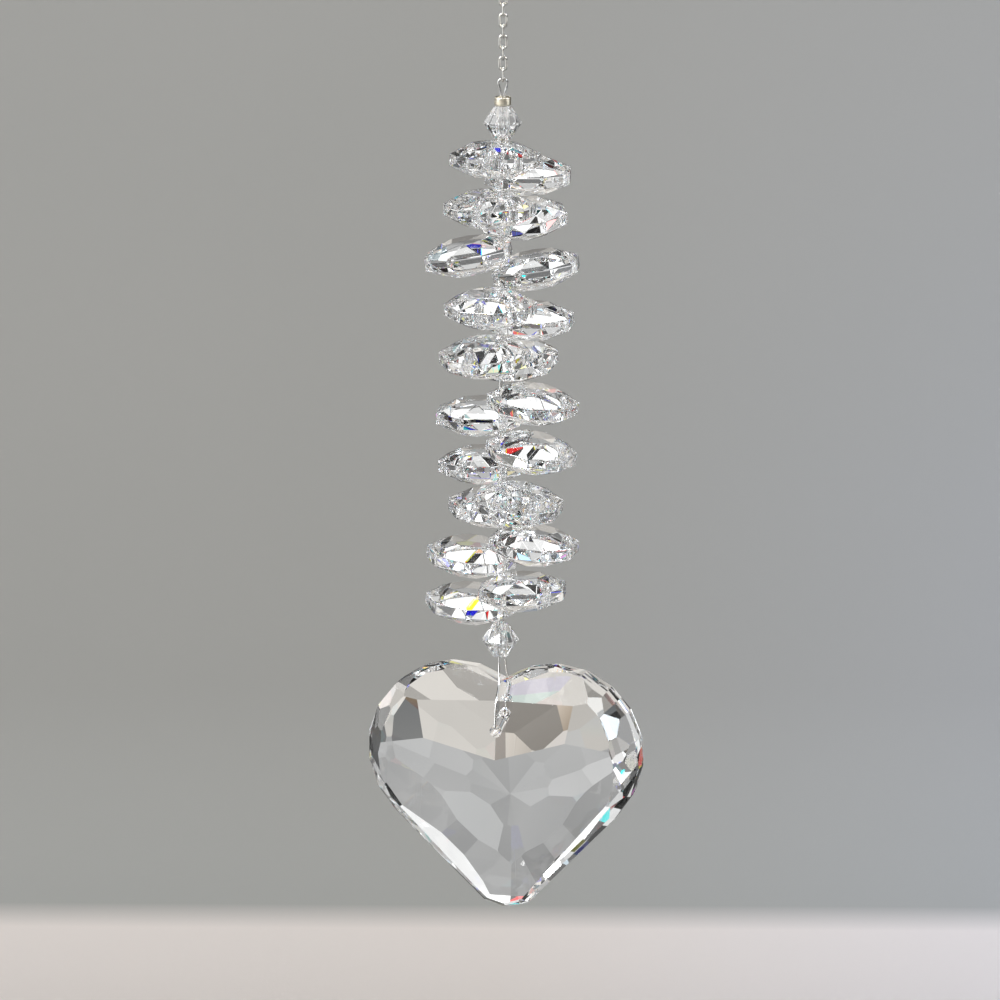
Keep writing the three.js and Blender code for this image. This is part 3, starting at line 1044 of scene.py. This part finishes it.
# Azimuth 0 is to the right, 90 behind the suncatcher and -90 behind the camera
CARDS = (
    Card(-92.0, 4.0, 27.0, -0.85), Card(34.0, -30.0, 21.0, -0.85), Card(154.0, -33.0, 9.0, -0.8),
    Card(80.0, -28.0, 6.5, -0.5), Card(-150.0, 28.0, 25.0, 0.9), Card(-35.0, 38.0, 17.0, 0.7),
    Card(-162.0, -10.0, 17.0, 0.6), Card(-14.0, -12.0, 13.0, 0.5), Card(138.0, 12.0, 12.0, 0.45),
    Card(135.0, 38.0, 11.0, 0.4), Card(-114.0, 27.0, 9.0, 0.6), Card(-140.0, 36.0, 6.0, 7.0),
    Card(-22.0, 30.0, 4.5, 5.0), Card(60.0, 56.0, 5.0, 4.0), Card(87.0, -31.5, 3.8, -0.62),
    Card(168.6, 55.5, 3.0, 8.0), Card(-90.0, -3.0, 14.0, 0.16),
    Card(98.0, -11.0, 6.5, -0.16),
)


@dataclass(frozen=True)
class Room:
    """The light that the crystal and the metal meet, and the plain grey that is seen behind.

    Crystal spreads light into its colours. Here each colour meets the room a little nearer to
    the line of sight or farther from it, the more so the more its ray is bent, so that edges
    between bright and dark are fringed as they are in a real prism.
    """

    wall: Triple = (0.47, 0.47, 0.465)
    floor: Triple = (0.67, 0.64, 0.595)
    horizon: float = -0.43
    horizon_edge: float = 0.01
    patch_size: float = 0.22
    patches: tuple[tuple[float, float], ...] = (
        (0.0, 0.02), (0.27, 0.3), (0.38, 0.9), (0.5, 1.3), (0.66, 1.9), (0.85, 2.9),
    )
    calm_within: tuple[float, float] = (0.975, 0.88)
    mottle_fineness: float = 12.0
    mottle_depth: float = 1.7
    floor_calm: float = 0.6
    spread: float = 0.007
    sight: Triple = (0.0, 0.972, -0.233)
    seen: Triple = (0.386, 0.381, 0.365)
    even: Triple = (0.93, 0.93, 0.93)
    mirrored_wall: float = 0.09
    mirrored_floor: float = 0.35
    mirrored_lamps: float = 4.0
    card_edge: float = 0.05
    lamp_edge: float = 0.5
    lamp_light: float = 2.0

    def in_colours(self, tree: Tree, direction: Socket, ahead: Socket, way: Vector) -> Socket:
        """Gives how far red, green and blue rays point along a way.

        Turning a direction from the line of sight by a small share e of its distance from it
        changes its dot product a with a way by e (a c - b), where c is the direction's dot
        product with the line of sight and b is the way's.

        Args:
            tree: The world's tree.
            direction: The ray's direction.
            ahead: The dot product c.
            way: The way.

        Returns:
            The three dot products.
        """
        along = tree.vector("DOT_PRODUCT", direction, way)
        shift = tree.math("MULTIPLY_ADD", along, ahead, -way.dot(Vector(self.sight)))
        return tree.vector("MULTIPLY_ADD", shift, (-self.spread, 0.0, self.spread), along)

    def patch_light(self, tree: Tree, direction: Socket) -> Socket:
        """Gives the straight-edged patches' brightness against the wall, for red, green and blue.

        Args:
            tree: The world's tree.
            direction: The ray's direction.

        Returns:
            The three brightnesses.
        """
        top = max(light for _, light in self.patches)
        away = tree.vector("SUBTRACT", direction, self.sight)
        row = tree.add("ShaderNodeCombineXYZ")
        for step, slot in zip((-1, 0, 1), row.inputs):
            place = tree.vector("MULTIPLY_ADD", away, step * self.spread, direction)
            cells = tree.add("ShaderNodeTexVoronoi", distance="MANHATTAN", Scale=1 / self.patch_size)
            tree.join(place, cells.inputs["Vector"])
            chance = tree.add("ShaderNodeSeparateColor")
            tree.join(cells.outputs["Color"], chance.inputs[0])
            ramp = tree.add("ShaderNodeValToRGB")
            ramp.color_ramp.interpolation = "CONSTANT"
            stops = ramp.color_ramp.elements
            stops.remove(stops[1])
            for share, light in self.patches:
                stop = stops[0] if share == 0.0 else stops.new(share)
                stop.color = (light / top, light / top, light / top, 1.0)
            tree.join(chance.outputs[0], ramp.inputs[0])
            tree.join(tree.math("MULTIPLY", ramp.outputs[0], top), slot)
        return row.outputs[0]

    def field_light(self, tree: Tree, direction: Socket, ahead: Socket, low: Socket) -> Socket:
        """Gives the room's light without its cards: wall and floor, in patches and mottled.

        The patches are left out close to the line of sight, and the floor has less of both.

        Args:
            tree: The world's tree.
            direction: The ray's direction.
            ahead: Its dot product with the line of sight.
            low: 1 where it meets the floor and 0 above.

        Returns:
            The light in red, green and blue.
        """
        ground = tree.vector("MULTIPLY_ADD", low, Vector(self.floor) - Vector(self.wall), self.wall)
        calm = tree.vector("MULTIPLY_ADD", low, -self.floor_calm, 1.0)
        aside = tree.share(ahead, *self.calm_within)
        change = tree.vector("SUBTRACT", self.patch_light(tree, direction), 1.0)
        change = tree.vector("MULTIPLY", change, tree.vector("MULTIPLY", calm, aside))
        mottle = tree.math("SUBTRACT", tree.noise(direction, self.mottle_fineness, 1.0), 0.5)
        mottle = tree.vector("MULTIPLY", tree.math("MULTIPLY", mottle, self.mottle_depth), calm)
        patched = tree.vector("MULTIPLY", ground, tree.vector("ADD", change, 1.0))
        return tree.vector("MULTIPLY", patched, tree.vector("ADD", mottle, 1.0))

    def card_light(self, tree: Tree, direction: Socket, ahead: Socket) -> tuple[Socket, Socket]:
        """Gives what the cards do to the room's light. The strongest lamps have soft edges.

        Args:
            tree: The world's tree.
            direction: The ray's direction.
            ahead: Its dot product with the line of sight.

        Returns:
            The share that the black cards leave, and the light that the bright ones add.
        """
        kept: object = 1.0
        added: object = 0.0
        for card in CARDS:
            along = self.in_colours(tree, direction, ahead, card.way())
            soft = self.lamp_edge if card.light > self.lamp_light else self.card_edge
            outer = math.cos(math.radians((1 + soft) * card.radius))
            mask = tree.between(along, outer, math.cos(math.radians((1 - soft) * card.radius)))
            if card.light > 0:
                added = tree.vector("MULTIPLY_ADD", mask, card.light, added)
            else:
                kept = tree.vector("MULTIPLY", kept, tree.vector("MULTIPLY_ADD", mask, card.light, 1.0))
        return kept, added

    def build(self) -> None:
        """Makes the world: the room seen through crystal, a dim one mirrored, and plain grey behind."""
        world = bpy.data.worlds.new("room")
        bpy.context.scene.world = world
        world.use_nodes = True
        world.cycles.sampling_method = "NONE"
        tree = Tree(world.node_tree)
        world.node_tree.nodes.clear()
        direction = tree.add("ShaderNodeTexCoord").outputs["Generated"]
        ahead = tree.vector("DOT_PRODUCT", direction, self.sight)
        rise = self.in_colours(tree, direction, ahead, Vector((0.0, 0.0, 1.0)))
        low = tree.between(rise, self.horizon + self.horizon_edge, self.horizon - self.horizon_edge)
        kept, added = self.card_light(tree, direction, ahead)
        field_light = self.field_light(tree, direction, ahead, low)
        through = tree.vector("MULTIPLY_ADD", field_light, kept, added)
        rising = self.mirrored_floor - self.mirrored_wall
        mirror = tree.vector("MULTIPLY_ADD", low, rising, self.mirrored_wall)
        mirror = tree.vector("MULTIPLY", mirror, kept)
        mirror = tree.vector("MULTIPLY_ADD", added, self.mirrored_lamps, mirror)
        rays = tree.add("ShaderNodeLightPath").outputs
        light = tree.background(through)
        light = tree.choose(rays["Is Reflection Ray"], light, tree.background(mirror))
        light = tree.choose(rays["Is Diffuse Ray"], light, tree.background(self.even))
        light = tree.choose(rays["Is Camera Ray"], light, tree.background(self.seen))
        tree.join(light, tree.add("ShaderNodeOutputWorld").inputs["Surface"])


@dataclass(frozen=True)
class SoftLight:
    """A square soft light: its place, its size, and its power."""

    name: str
    place: Triple
    size: float
    power: float
    colour: Triple

    def build(self) -> None:
        """Makes the light, turned to the middle of the suncatcher."""
        data = bpy.data.lights.new(self.name, "AREA")
        data.size = self.size
        data.energy = self.power
        data.color = self.colour
        light = add_object(self.name, data)
        away = Vector(self.place) - Vector((0.0, 0.0, MIDDLE_HEIGHT))
        facing = away.to_track_quat("Z", "Y").to_matrix().to_4x4()
        light.matrix_world = Matrix.Translation(Vector(self.place)) @ facing


LIGHTS = (
    SoftLight("window_left", (-1.1, -1.0, 0.9), 0.6, 3.0, (1.0, 0.97, 0.93)),
    SoftLight("lamp_right", (1.3, -0.5, 0.7), 0.3, 2.2, (0.86, 0.93, 1.0)),
)


def set_bounces() -> None:
    """Lets light pass through as many walls of crystal as stand one behind another."""
    cycles = bpy.context.scene.cycles
    cycles.max_bounces = CRYSTAL_WALLS
    cycles.transmission_bounces = CRYSTAL_WALLS
    cycles.glossy_bounces = MIRRORINGS
    cycles.caustics_refractive = False
    cycles.caustics_reflective = False
    bpy.context.scene.view_settings.view_transform = "Standard"


def main() -> None:
    """Builds the setting and the suncatcher."""
    logging.basicConfig(level=logging.INFO, format="%(name)s: %(message)s")
    Viewpoint().build()
    Sweep().build()
    Room().build()
    for light in LIGHTS:
        light.build()
    set_bounces()
    for assembly in (Hanger(), Threading(), BeadColumn(), HeartPrism()):
        assembly.build()


if __name__ == "__main__":
    main()
